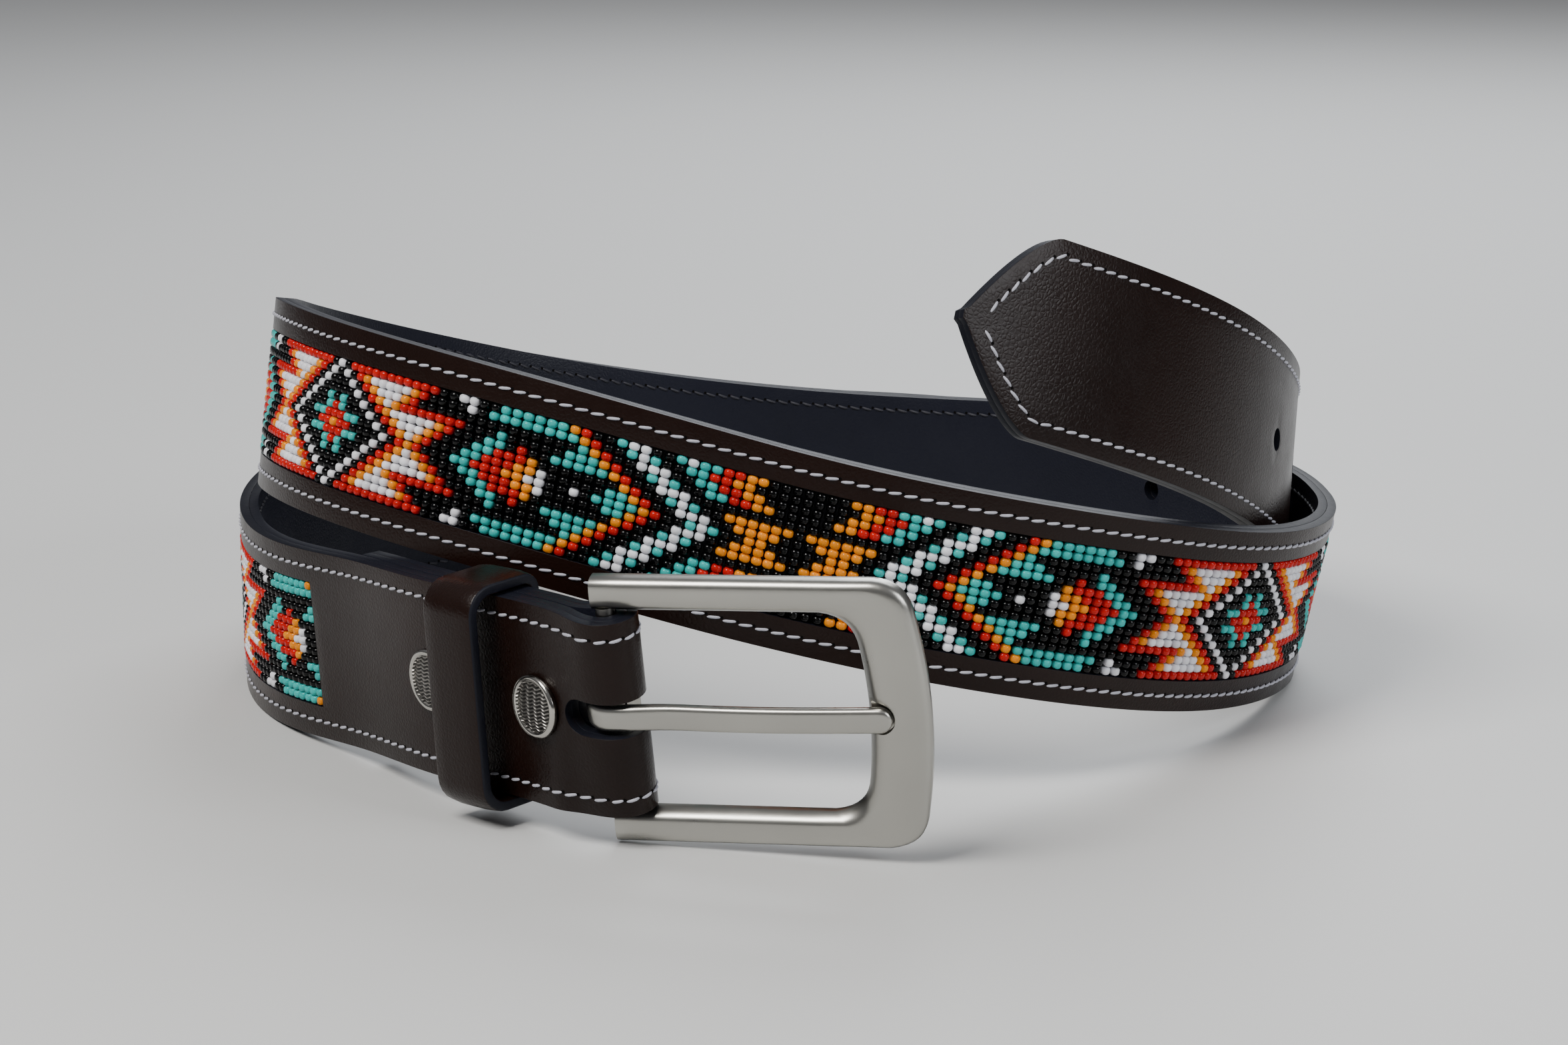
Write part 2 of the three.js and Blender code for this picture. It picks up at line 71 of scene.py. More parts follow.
halfWidth = strap["width"] / 2
thickness = strap["lining"] + strap["gap"] + strap["face"]
halfThickness = thickness / 2
liningTop = strap["lining"] - halfThickness
faceUnder = liningTop + strap["gap"]
barRadius = strap["bar"] / 2
loopRadius = barRadius + strap["gap"] + halfThickness
loopHalf = math.pi * loopRadius / 2
legOffset = halfThickness + strap["gap"] / 2
tipPath = loopHalf + strap["length"]
pointFrom = tipPath - strap["point"]
panelFrom = loopHalf + strap["panelStart"]
panelLength = strap["columns"] * strap["columnPitch"]
windowHalf = (strap["rows"] * strap["rowPitch"] + strap["gap"]) / 2


# a smooth curve through the table's points
def naturalSpline(xs, ys, at):
    count = len(xs)
    step = np.diff(xs)
    system = np.eye(count)
    right = np.zeros(count)
    for i in range(1, count - 1):
        system[i, i - 1:i + 2] = step[i - 1], 2 * (step[i - 1] + step[i]), step[i]
        right[i] = 6 * ((ys[i + 1] - ys[i]) / step[i] - (ys[i] - ys[i - 1]) / step[i - 1])
    second = np.linalg.solve(system, right)
    k = np.clip(np.searchsorted(xs, at) - 1, 0, count - 2)
    span = xs[k + 1] - xs[k]
    a = (xs[k + 1] - at) / span
    b = 1 - a
    bend = (a ** 3 - a) * second[k] + (b ** 3 - b) * second[k + 1]
    return a * ys[k] + b * ys[k + 1] + bend * span * span / 6


def unit(vectors):
    return vectors / np.linalg.norm(vectors, axis=-1, keepdims=True)


# the coil's middle line by degrees: length from the bar, place, direction and lean
def traceCoil():
    table = np.array(coil, float)
    turn = np.arange(table[0, 0], table[-1, 0] + 1)
    reach = strap["coilRadius"] * naturalSpline(table[:, 0], table[:, 1], turn)
    low = strap["width"] * np.maximum(0, naturalSpline(table[:, 0], table[:, 2], turn) - strap["rest"])
    lean = np.radians(naturalSpline(table[:, 0], table[:, 3], turn))
    angle = np.radians(turn)
    place = np.stack([-reach * np.sin(angle), -reach * np.cos(angle), 0 * angle], 1)
    before = np.maximum(np.arange(len(turn)) - 1, 0)
    after = np.minimum(np.arange(len(turn)) + 1, len(turn) - 1)
    climb = np.arctan2(low[after] - low[before], np.linalg.norm(place[after] - place[before], axis=1))
    place[:, 2] = low + halfWidth * np.cos(lean) * np.cos(climb) + halfThickness * np.abs(np.sin(lean))
    travelled = np.concatenate([[0], np.cumsum(np.linalg.norm(np.diff(place, axis=0), axis=1))])
    travelled += strap["panelStart"] - np.interp(strap["panelTurn"], turn, travelled)
    return travelled, place, unit(place[after] - place[before]), lean


travelled, tracePlace, traceAlong, traceLean = traceCoil()


# values at lengths from the bar
def alongTrace(length, values):
    return np.stack([np.interp(length, travelled, values[:, k]) for k in range(3)], -1)


def coilFrames(length):
    place = alongTrace(length, tracePlace)
    along = unit(alongTrace(length, traceAlong))
    lean = np.interp(length, travelled, traceLean)[..., None]
    level = np.hypot(along[..., :1], along[..., 1:2])
    upright = np.concatenate([-along[..., :2] * along[..., 2:] / level, level], -1)
    outward = np.concatenate([-along[..., 1:2], along[..., :1], 0 * level], -1) / level
    across = np.cos(lean) * upright + np.sin(lean) * outward
    return place, along, across, np.cross(across, along)


# frames at lengths from the bar: place, along, across and out
def strapFrames(length):
    length = np.asarray(length, float)
    bend = strap["bendLength"]
    place, along, across, out = coilFrames(np.maximum(length, bend))
    radius = bend / math.radians(strap["bendAngle"])
    angle = (np.maximum(0, bend - length) / radius)[..., None]
    place = place - along * radius * np.sin(angle) - out * radius * (1 - np.cos(angle))
    along = along * np.cos(angle) + out * np.sin(angle)
    share = np.clip(length / bend, 0, 1)[..., None]
    lean = math.radians(strap["bendLean"]) * (1 - np.cos(math.pi * (1 - share))) / 2
    across = across * np.cos(lean) + np.cross(across, along) * np.sin(lean)
    return place, along, across, np.cross(across, along)


# places for flat points: x along the folded strap, y across it, z out of it
def wrapPoints(flat):
    path, side, rise = flat[:, 0], flat[:, 1:2], flat[:, 2:3]
    length = np.maximum(0, np.abs(path) - loopHalf)
    place, along, across, out = strapFrames(length)
    sign = np.where(path < 0, -1.0, 1.0)[:, None]
    spread = np.cos(math.pi * np.minimum(1, length / strap["slotLength"]))[:, None]
    offset = legOffset + (loopRadius - legOffset) * (1 + spread) / 2
    angle = ((loopHalf - path) / (2 * loopHalf) * math.pi)[:, None]
    roundOut = out * np.cos(angle) - along * np.sin(angle)
    onLoop = (np.abs(path) < loopHalf)[:, None]
    legPlace = place + out * (sign * offset - legOffset)
    loopPlace = place - out * legOffset + roundOut * loopRadius
    middle = np.where(onLoop, loopPlace, legPlace)
    outward = np.where(onLoop, roundOut, out * sign)
    return middle + across * side + outward * rise


# the solids are centred by their box, so the route is moved until its left and its back match the face's
def seatShift():
    paths = np.arange(0, tipPath, 1.0)
    flat = np.stack([paths, 0 * paths, 0 * paths], 1)
    edges = [flat + (0, side * halfWidth, halfThickness) for side in (-1, 1)]
    swept = wrapPoints(np.concatenate(edges))
    low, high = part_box("strap_face")
    return np.array([low.x / mm - swept[:, 0].min(), high.y / mm - swept[:, 1].max(), 0.0])


shift = seatShift()
print("beaded belt: route seated", np.round(shift, 2))


def wrapMesh(mesh):
    flat = np.zeros(len(mesh.vertices) * 3, np.float32)
    mesh.vertices.foreach_get("co", flat)
    wrapped = (wrapPoints(flat.reshape(-1, 3).astype(float)) + shift) * mm
    mesh.vertices.foreach_set("co", wrapped.astype(np.float32).ravel())
    mesh.update()


# where a small piece sits on the strap: x along, y across, z out
def seatMatrix(length, rise):
    place, along, across, out = (v[0] for v in strapFrames(np.array([float(length)])))
    centre = (place + out * rise + shift) * mm
    matrix = Matrix([[along[i], across[i], out[i], centre[i]] for i in range(3)] + [[0, 0, 0, 1]])
    return matrix @ Matrix.Scale(mm, 4)


# node helpers and the effects that several materials share
def newGroup(name, inputs, outputs):
    group = bpy.data.node_groups.new(name, "ShaderNodeTree")
    for label, kind, value in inputs:
        socket = group.interface.new_socket(label, in_out="INPUT", socket_type=kind)
        socket.default_value = value
    for label, kind in outputs:
        group.interface.new_socket(label, in_out="OUTPUT", socket_type=kind)
    return group, group.nodes.new("NodeGroupInput"), group.nodes.new("NodeGroupOutput")


def addNode(tree, kind, **settings):
    node = tree.nodes.new(kind)
    for key, value in settings.items():
        setattr(node, key, value)
    return node


def mathNode(tree, operation, a, b=None, clamp=False):
    node = addNode(tree, "ShaderNodeMath", operation=operation, use_clamp=clamp)
    for i, value in enumerate((a, b)):
        if value is None:
            continue
        if isinstance(value, (int, float)):
            node.inputs[i].default_value = value
        else:
            tree.links.new(value, node.inputs[i])
    return node.outputs[0]


def mixColour(tree, factor, a, b, blend="MIX"):
    node = addNode(tree, "ShaderNodeMix", data_type="RGBA", blend_type=blend)
    for i, value in ((0, factor), (6, a), (7, b)):
        if isinstance(value, (int, float, tuple)):
            node.inputs[i].default_value = value
        else:
            tree.links.new(value, node.inputs[i])
    return node.outputs[2]


def addNoise(tree, vector, scale, detail=2, roughness=0.5):
    node = addNode(tree, "ShaderNodeTexNoise")
    for label, value in (("Scale", scale), ("Detail", detail), ("Roughness", roughness)):
        node.inputs[label].default_value = value
    tree.links.new(vector, node.inputs["Vector"])
    return node.outputs


# fine pores and long soft creases, as height and as a tint mask
def makeLeatherGrain():
    group, start, end = newGroup(
        "leatherGrain",
        [("Pore size", "NodeSocketFloat", 0.0009), ("Crease", "NodeSocketFloat", 0.5)],
        [("Height", "NodeSocketFloat"), ("Tint", "NodeSocketFloat")])
    link = group.links.new
    place = addNode(group, "ShaderNodeTexCoord").outputs["Object"]
    bent = addNode(group, "ShaderNodeVectorMath", operation="MULTIPLY_ADD")
    bent.inputs[1].default_value = (0.0006, 0.0006, 0.0006)
    link(addNoise(group, place, 420)["Color"], bent.inputs[0])
    link(place, bent.inputs[2])
    cells = addNode(group, "ShaderNodeTexVoronoi", feature="DISTANCE_TO_EDGE")
    link(bent.outputs[0], cells.inputs["Vector"])
    link(mathNode(group, "DIVIDE", 1.0, start.outputs["Pore size"]), cells.inputs["Scale"])
    pores = mathNode(group, "MINIMUM", mathNode(group, "MULTIPLY", cells.outputs["Distance"], 3.5), 1.0)
    folds = mathNode(group, "MULTIPLY", addNoise(group, place, 90, 5)["Fac"], start.outputs["Crease"])
    link(mathNode(group, "ADD", mathNode(group, "MULTIPLY", pores, 0.5), folds), end.inputs["Height"])
    link(addNoise(group, place, 22, 3)["Fac"], end.inputs["Tint"])
    return group


# faint smears and dust that change the shine
def makeHandling():
    group, start, end = newGroup(
        "handling",
        [("Roughness", "NodeSocketFloat", 0.4), ("Spread", "NodeSocketFloat", 0.15)],
        [("Roughness", "NodeSocketFloat")])
    place = addNode(group, "ShaderNodeTexCoord").outputs["Object"]
    smear = mathNode(group, "SUBTRACT", addNoise(group, place, 130, 6, 0.65)["Fac"], 0.5)
    away = mathNode(group, "MULTIPLY", smear, start.outputs["Spread"])
    rough = mathNode(group, "ADD", away, start.outputs["Roughness"], clamp=True)
    group.links.new(rough, end.inputs["Roughness"])
    return group


leatherGrain = makeLeatherGrain()
handling = makeHandling()


def startMaterial(name):
    material = bpy.data.materials.new(name)
    material.use_nodes = True
    tree = material.node_tree
    return material, tree, tree.nodes["Principled BSDF"]


def groupNode(tree, group, values):
    node = tree.nodes.new("ShaderNodeGroup")
    node.node_tree = group
    for key, value in values.items():
        node.inputs[key].default_value = value
    return node


def addRelief(tree, shader, height, strength, distance):
    relief = addNode(tree, "ShaderNodeBump")
    relief.inputs["Strength"].default_value = strength
    relief.inputs["Distance"].default_value = distance
    tree.links.new(height, relief.inputs["Height"])
    tree.links.new(relief.outputs["Normal"], shader.inputs["Normal"])


def addShine(tree, shader, roughness, spread):
    shine = groupNode(tree, handling, {"Roughness": roughness, "Spread": spread})
    tree.links.new(shine.outputs["Roughness"], shader.inputs["Roughness"])


# colours run from the dark to the light one with the leather's broad tint
leathers = {
    "faceLeather": {
        "dark": (0.004, 0.0016, 0.0011, 1), "light": (0.014, 0.005, 0.0031, 1),
        "roughness": 0.31, "bump": 0.5, "crease": 0.3, "pore": 0.0009, "coat": 0.05,
    },
    "liningLeather": {
        "dark": (0.006, 0.007, 0.012, 1), "light": (0.014, 0.015, 0.025, 1),
        "roughness": 0.42, "bump": 0.5, "crease": 0.5, "pore": 0.0009, "coat": 0.0,
    },
    "edgePaint": {
        "dark": (0.004, 0.0045, 0.008, 1), "light": (0.01, 0.011, 0.018, 1),
        "roughness": 0.46, "bump": 0.3, "crease": 0.8, "pore": 0.0016, "coat": 0.0,
    },
}


def makeLeather(name):
    look = leathers[name]
    material, tree, shader = startMaterial(name)
    grain = groupNode(tree, leatherGrain, {"Pore size": look["pore"], "Crease": look["crease"]})
    tint = mixColour(tree, grain.outputs["Tint"], look["dark"], look["light"])
    tree.links.new(tint, shader.inputs["Base Color"])
    addShine(tree, shader, look["roughness"], 0.22)
    addRelief(tree, shader, grain.outputs["Height"], look["bump"], 0.0001)
    shader.inputs["Coat Weight"].default_value = look["coat"]
    shader.inputs["Coat Roughness"].default_value = 0.25
    shader.inputs["Specular IOR Level"].default_value = 0.18
    return material


faceLeather = makeLeather("faceLeather")
liningLeather = makeLeather("liningLeather")
edgePaint = makeLeather("edgePaint")


def makeThread(name, dark, light):
    material, tree, shader = startMaterial(name)
    place = addNode(tree, "ShaderNodeTexCoord").outputs["Object"]
    twist = addNoise(tree, place, 900)["Fac"]
    tree.links.new(mixColour(tree, twist, dark, light), shader.inputs["Base Color"])
    shader.inputs["Roughness"].default_value = 0.6
    addRelief(tree, shader, twist, 0.5, 0.00005)
    return material


paleThread = makeThread("paleThread", (0.3, 0.3, 0.35, 1), (0.56, 0.56, 0.62, 1))
darkThread = makeThread("darkThread", (0.008, 0.008, 0.012, 1), (0.03, 0.03, 0.042, 1))

# a near-black disc at each stitch end is painted shade standing in for the needle hole
needleHoleShade, _, holeShadeShader = startMaterial("needleHoleShade")
holeShadeShader.inputs["Base Color"].default_value = (0.002, 0.0015, 0.0015, 1)
holeShadeShader.inputs["Roughness"].default_value = 0.9
holeShadeShader.inputs["Specular IOR Level"].default_value = 0.1

# the dark groove colour is painted shade in the engraved grooves
engraving = {"lines": 27, "waves": 9, "sway": 0.045, "depth": 0.00025, "grooveShade": (0.05, 0.048, 0.045, 1)}


# wavy ridges across the screw cap, from its own plan, with painted shade darkening the grooves between them
def addEngraving(tree, shader, plan, colour):
    sides = addNode(tree, "ShaderNodeSeparateXYZ")
    tree.links.new(plan, sides.inputs[0])
    wave = mathNode(tree, "SINE", mathNode(tree, "MULTIPLY", sides.outputs[0], engraving["waves"]))
    sway = mathNode(tree, "MULTIPLY", wave, engraving["sway"])
    lines = mathNode(tree, "MULTIPLY", mathNode(tree, "ADD", sides.outputs[1], sway), engraving["lines"])
    ridges = mathNode(tree, "SINE", lines)
    crest = mathNode(tree, "ADD", mathNode(tree, "MULTIPLY", ridges, 0.5), 0.5)
    tree.links.new(mixColour(tree, crest, engraving["grooveShade"], colour), shader.inputs["Base Color"])
    addRelief(tree, shader, ridges, 0.9, engraving["depth"])


def makeNickel(name, colour, roughness, spread, engraved=False):
    material, tree, shader = startMaterial(name)
    place = addNode(tree, "ShaderNodeTexCoord").outputs
    addShine(tree, shader, roughness, spread)
    shader.inputs["Metallic"].default_value = 1
    if engraved:
        addEngraving(tree, shader, place["UV"], colour)
    else:
        warm = tuple(c * 0.86 for c in colour[:3]) + (1,)
        stain = addNoise(tree, place["Object"], 60)["Fac"]
        tree.links.new(mixColour(tree, stain, warm, colour), shader.inputs["Base Color"])
        addRelief(tree, shader, addNoise(tree, place["Object"], 700)["Fac"], 0.12, 0.00003)
    return material


satinNickel = makeNickel("satinNickel", (0.44, 0.43, 0.395, 1), 0.3, 0.14)
brightNickel = makeNickel("brightNickel", (0.5, 0.48, 0.44, 1), 0.16, 0.12)
capNickel = makeNickel("capNickel", (0.42, 0.4, 0.37, 1), 0.3, 0.1, engraved=True)


def makeBeadGlass():
    material, tree, shader = startMaterial("beadGlass")
    tint = addNode(tree, "ShaderNodeAttribute", attribute_name="beadColour")
    place = addNode(tree, "ShaderNodeTexCoord").outputs["Object"]
    swirl = addNoise(tree, place, 650)["Fac"]
    shade = mixColour(tree, swirl, (0.82, 0.82, 0.82, 1), (1.1, 1.1, 1.1, 1))
    colour = mixColour(tree, 1.0, tint.outputs["Color"], shade, "MULTIPLY")
    tree.links.new(colour, shader.inputs["Base Color"])
    addShine(tree, shader, 0.13, 0.12)
    shader.inputs["Specular IOR Level"].default_value = 0.22
    return material


beadGlass = makeBeadGlass()
print("beaded belt: materials ready")


# making and settling pieces
def pieceFrom(name, bm, materials):
    mesh = bpy.data.meshes.new(name)
    bm.to_mesh(mesh)
    bm.free()
    obj = bpy.data.objects.new(name, mesh)
    scene.collection.objects.link(obj)
    for material in materials:
        mesh.materials.append(material)
    return obj


def applyModifiers(obj):
    graph = bpy.context.evaluated_depsgraph_get()
    mesh = bpy.data.meshes.new_from_object(obj.evaluated_get(graph))
    obj.modifiers.clear()
    obj.data = mesh


def smoothByAngle(mesh, degrees):
    mesh.polygons.foreach_set("use_smooth", [True] * len(mesh.polygons))
    mesh.set_sharp_from_angle(angle=math.radians(degrees))


def finishPiece(obj, body, replaced=()):
    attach(obj, body)
    if replaced:
        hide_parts(*replaced)


def addCut(obj, tool):
    cut = obj.modifiers.new("cut", "BOOLEAN")
    cut.operation = "DIFFERENCE"
    cut.solver = "EXACT"
    cut.object = tool


def addRounding(obj, width, sides, degrees):
    rounding = obj.modifiers.new("rounding", "BEVEL")
    rounding.limit_method = "ANGLE"
    rounding.angle_limit = math.radians(degrees)
    rounding.width = width
    rounding.segments = sides


# half the strap's width, which narrows in the point
def pointHalf(path):
    into = np.clip((path - pointFrom) / strap["point"], 0, 1)
    return halfWidth * np.maximum(strap["pointEnd"] / strap["width"], 1 - into ** strap["pointFullness"])


# the screws are needed first for their holes
screws = {
    "places": (15.5, 45.5), "cap": 12, "rim": 1.1, "capHeight": 1.5, "back": 9, "backHeight": 1.1, "post": 5,
    "hole": 5.4, "proud": 0.12, "sides": 48, "planScale": 3,
}
cutters = {"depth": 12, "slotEase": 0.6, "slotSides": 28, "holeSides": 24, "screwSides": 20}


def addRound(bm, path, radius, sides):
    bmesh.ops.create_cone(bm, cap_ends=True, segments=sides, radius1=radius, radius2=radius,
                          depth=cutters["depth"], matrix=Matrix.Translation((path, 0, 0)))


# cutters for the tongue slot, belt holes and screw posts, in flat places
def makeCutters():
    slotEnds = bmesh.new()
    far = loopHalf + strap["slotLength"] - cutters["slotEase"]
    radius = strap["slotWidth"] / 2 - cutters["slotEase"]
    for path in (-far + radius, far - radius):
        addRound(slotEnds, path, radius, cutters["slotSides"])
    middle = bmesh.new()
    room = Matrix.Diagonal((2 * (far - radius), 2 * radius, cutters["depth"], 1))
    bmesh.ops.create_cube(middle, size=1, matrix=room)
    roundHoles = bmesh.new()
    for i in range(strap["holes"]):
        path = tipPath - strap["firstHole"] - i * strap["holePitch"]
        addRound(roundHoles, path, strap["hole"] / 2, cutters["holeSides"])
    for place in screws["places"]:
        for sign in (1, -1):
            addRound(roundHoles, sign * (loopHalf + place), screws["hole"] / 2, cutters["screwSides"])
    return [pieceFrom("slotEnds", slotEnds, []), pieceFrom("slotMiddle", middle, []),
            pieceFrom("roundHoles", roundHoles, [])]


layers = {
    "step": 2.8, "across": 6, "snap": 0.05,
    # closer stations round the buckle bar and along the point, where the shape turns fast
    "loopStep": 0.8, "beforeLoop": 9, "afterLoop": 14, "pointStep": 0.9, "beforePoint": 1, "shortOfTip": 0.5,
    "faceRounding": 0.5, "liningRounding": 0.4, "roundingSides": 3, "glueLine": 0.26,
}


def sliceAcross(bm, place, normal, snap=0.0):
    geometry = bm.verts[:] + bm.edges[:] + bm.faces[:]
    bmesh.ops.bisect_plane(bm, geom=geometry, dist=snap, plane_co=place, plane_no=normal)


# one flat layer of the strap between two heights, with the window for the beads if it has one
def flatLayer(name, low, high, windowed, materials):
    bm = bmesh.new()
    start = -loopHalf - strap["fold"]
    steps = int((tipPath - start) / layers["step"])
    bmesh.ops.create_grid(bm, x_segments=steps, y_segments=layers["across"], size=0.5)
    bmesh.ops.scale(bm, vec=(tipPath - start, strap["width"], 1), verts=bm.verts)
    bmesh.ops.translate(bm, vec=((tipPath + start) / 2, 0, low), verts=bm.verts)
    onLoop = np.arange(-loopHalf - layers["beforeLoop"], loopHalf + layers["afterLoop"], layers["loopStep"])
    onPoint = np.arange(
        pointFrom - layers["beforePoint"], tipPath - layers["shortOfTip"], layers["pointStep"])
    for path in [*onLoop, *onPoint]:
        sliceAcross(bm, (float(path), 0, 0), (1, 0, 0), layers["snap"])
    if windowed:
        window = (panelFrom - strap["gap"], panelFrom + panelLength + strap["gap"])
        for side in (-windowHalf, windowHalf):
            sliceAcross(bm, (0, side, 0), (0, 1, 0))
        for path in window:
            sliceAcross(bm, (path, 0, 0), (1, 0, 0))
        inside = [f for f in bm.faces if window[0] < f.calc_center_median().x < window[1]
                  and abs(f.calc_center_median().y) < windowHalf]
        bmesh.ops.delete(bm, geom=inside, context="FACES")
    for vert in bm.verts:
        vert.co.y *= float(pointHalf(vert.co.x)) / halfWidth
    raised = bmesh.ops.extrude_face_region(bm, geom=bm.faces[:])["geom"]
    top = [g for g in raised if isinstance(g, bmesh.types.BMVert)]
    bmesh.ops.translate(bm, vec=(0, 0, high - low), verts=top)
    bmesh.ops.recalc_face_normals(bm, faces=bm.faces)
    return pieceFrom(name, bm, materials)


# cut the layer, round its edges, paint them, and only then lay it along the route
def finishLayer(obj, tools, replaced, rounding):
    for tool in tools:
        addCut(obj, tool)
    applyModifiers(obj)
    addRounding(obj, rounding, layers["roundingSides"], 50)
    applyModifiers(obj)
    mesh = obj.data
    normals = np.zeros(len(mesh.polygons) * 3)
    mesh.polygons.foreach_get("normal", normals)
    painted = (np.abs(normals.reshape(-1, 3)[:, 2]) < 0.6).astype(np.int32)
    mesh.polygons.foreach_set("material_index", painted)
    wrapMesh(mesh)
    smoothByAngle(mesh, 40)
    finishPiece(obj, "strap", [replaced])
    print("beaded belt:", obj.name, len(mesh.polygons), "faces")


tools = makeCutters()
faceObj = flatLayer("strapFaceLeather", faceUnder, halfThickness, True, [faceLeather, edgePaint])
finishLayer(faceObj, tools, "strap_face", layers["faceRounding"])
glueTop = liningTop + layers["glueLine"]
liningObj = flatLayer("strapLiningLeather", -halfThickness, glueTop, False, [liningLeather, edgePaint])
finishLayer(liningObj, tools, "strap_lining", layers["liningRounding"])
for tool in tools:
    bpy.data.objects.remove(tool)

beads = {
    "radius": 1.09, "length": 1.58, "sides": 9, "perPiece": 83, "seat": 1.12,
    "seed": 4, "sizeSpread": 0.018, "tilt": 0.05, "wander": 0.05, "wanderShare": (1, 0.5, 0.7),
    "shades": (0.86, 1.08), "repeat": 90, "chartStart": -15, "firstColumn": 10,
    # out from the thread and along it, as shares of the radius and of half the length
    "profile": [(0, -0.96), (0.6, -1), (0.93, -0.62), (1, 0), (0.93, 0.62), (0.6, 1), (0, 0.96)],
    "colours": {
        "K": (0.001, 0.001, 0.0012), "T": (0.03, 0.45, 0.42), "R": (0.5, 0.006, 0.005),
        "Y": (0.8, 0.245, 0.0), "W": (0.8, 0.8, 0.84),
    },
}

# the repeat, listed run by run: it mirrors about column -15, about column 30 and about the middle row
repeat = {
    1: "R-13:-3 W0:1 T4:9 Y10 R11 T14 W15:16 T19 W20 T21:22 R23:24 Y25:26",
    2: "R-12 Y-11 W-10:-6 Y-5 R-4 W1 T3:10 Y11 R12 T15 W16 T17 T20:21 R22:23 Y24:25",
    3: "R-11 Y-10 W-9:-7 Y-6 R-5 T11 Y12 R13 W16:18 T21:22 R23:24 Y25:26",
    4: "R-10 Y-9 W-8 Y-7 R-6:0 T4 T10:12 Y13 R14 T17 W18 T19 T22:23 R24:25 Y26:27",
    5: "R-9 Y-8 W-7:-3 Y-2 R-1 T3:4 R6 T9:13 Y14 R15 W18:20 T-14",
    6: "R-8 Y-7 W-6:-4 Y-3 R-2 T2:3 R4:6 Y7 Y15 R16 T19 W20 T21 Y24:29 R-15 T-14",
    7: "R-7 Y-6 W-5 Y-4 R-3 T1:2 R3:5 Y6:7 W8 T14:15 Y16 R17 W20:22 Y25:28 R-15:-14 T-13:-12",
    8: "R-6 Y-5 R-4 T0:1 R2:4 Y5:6 W7:8 W11 T13:16 Y17 R18 T21 W22 T23 Y26:27 Y-15 R-14:-13",
}


def beadLetters():
    letters = {}
    for row, runs in repeat.items():
        letters[(row, row - 16)] = "W"  # the white outline of the star's diamond
        for run in runs.split():
            first, _, last = run[1:].partition(":")
            for column in range(int(first), int(last or first) + 1):
                letters[(row, column)] = run[0]
    return letters


# the chart runs from its start to column 30 and the panel begins at firstColumn, counting down,
# so a panel column is folded back into the chart
def beadColour(letters, column, row):
    chartRow = min(row, strap["rows"] + 1 - row)
    away = (beads["firstColumn"] - column - beads["chartStart"]) % beads["repeat"]
    away = min(away, beads["repeat"] - away)
    return beads["colours"][letters.get((chartRow, away + beads["chartStart"]), "K")]


def makeBead():
    bm = bmesh.new()
    verts = [bm.verts.new((beads["radius"] * x, beads["length"] / 2 * y, 0)) for x, y in beads["profile"]]
    edges = [bm.edges.new(pair) for pair in zip(verts, verts[1:])]
    bmesh.ops.spin(bm, geom=verts + edges, cent=(0, 0, 0), axis=(0, 1, 0), angle=2 * math.pi,
                   steps=beads["sides"], use_merge=True)
    bmesh.ops.remove_doubles(bm, verts=bm.verts, dist=1e-4)
    bmesh.ops.recalc_face_normals(bm, faces=bm.faces)
    return bm


# every bead is a little off in size, tilt and place
def loosen(places, rng):
    columns, rows = places.shape[:2]
    centre = places.mean(axis=2, keepdims=True)
    size = 1 + rng.normal(0, beads["sizeSpread"], (columns, rows, 1, 3))
    tilt = rng.normal(0, beads["tilt"], (columns, rows, 1))
    local = (places - centre) * size
    x = local[..., 0] * np.cos(tilt) - local[..., 1] * np.sin(tilt)
    y = local[..., 0] * np.sin(tilt) + local[..., 1] * np.cos(tilt)
    local[..., 0], local[..., 1] = x, y
    wander = rng.normal(0, beads["wander"], (columns, rows, 1, 3)) * beads["wanderShare"]
    return centre + local + wander


def makeBeadPiece(name, firstColumn, columns, letters, rng):
    rows = strap["rows"]
    obj = pieceFrom(name, makeBead(), [beadGlass])
    perBead = len(obj.data.vertices)
    for count, offset in ((rows, (0, strap["rowPitch"], 0)), (columns, (strap["columnPitch"], 0, 0))):
        row = obj.modifiers.new("row", "ARRAY")
        row.count = count
        row.use_relative_offset = False
        row.use_constant_offset = True
        row.constant_offset_displace = offset
    applyModifiers(obj)
    mesh = obj.data
    places = np.zeros(len(mesh.vertices) * 3, np.float32)
    mesh.vertices.foreach_get("co", places)
    places = loosen(places.reshape(columns, rows, perBead, 3).astype(float), rng)
    places[..., 0] += panelFrom + (firstColumn + 0.5) * strap["columnPitch"]
    places[..., 1] -= (rows - 1) / 2 * strap["rowPitch"]
    places[..., 2] += beads["seat"]
    mesh.vertices.foreach_set("co", places.astype(np.float32).ravel())
    colours = np.ones((columns, rows, perBead, 4), np.float32)
    for i in range(columns):
        for j in range(rows):
            shade = np.array(beadColour(letters, firstColumn + i, rows - j)) * rng.uniform(*beads["shades"])
            colours[i, j, :, :3] = shade
    layer = mesh.color_attributes.new("beadColour", "FLOAT_COLOR", "POINT")
    layer.data.foreach_set("color", colours.ravel())
    wrapMesh(mesh)
    smoothByAngle(mesh, 60)
    finishPiece(obj, "strap", ["bead_panel"])


def makeBeads():
    letters = beadLetters()
    rng = np.random.default_rng(beads["seed"])
    for index, first in enumerate(range(0, strap["columns"], beads["perPiece"])):
        columns = min(beads["perPiece"], strap["columns"] - first)
        makeBeadPiece(f"beads_{index + 1}", first, columns, letters, rng)
    print("beaded belt: beads strung")


makeBeads()

stitches = {
    "pitch": 3.0, "length": 2.72, "thread": 0.6, "inset": 3.3, "sink": 0.12, "slant": 0.19,
    "bow": 0.28, "blunt": 0.75, "hole": 0.34, "holeLift": 0.02, "start": -2.0,
    "lead": 12, "samples": 120, "meet": 0.2, "foldClearance": 2,
}


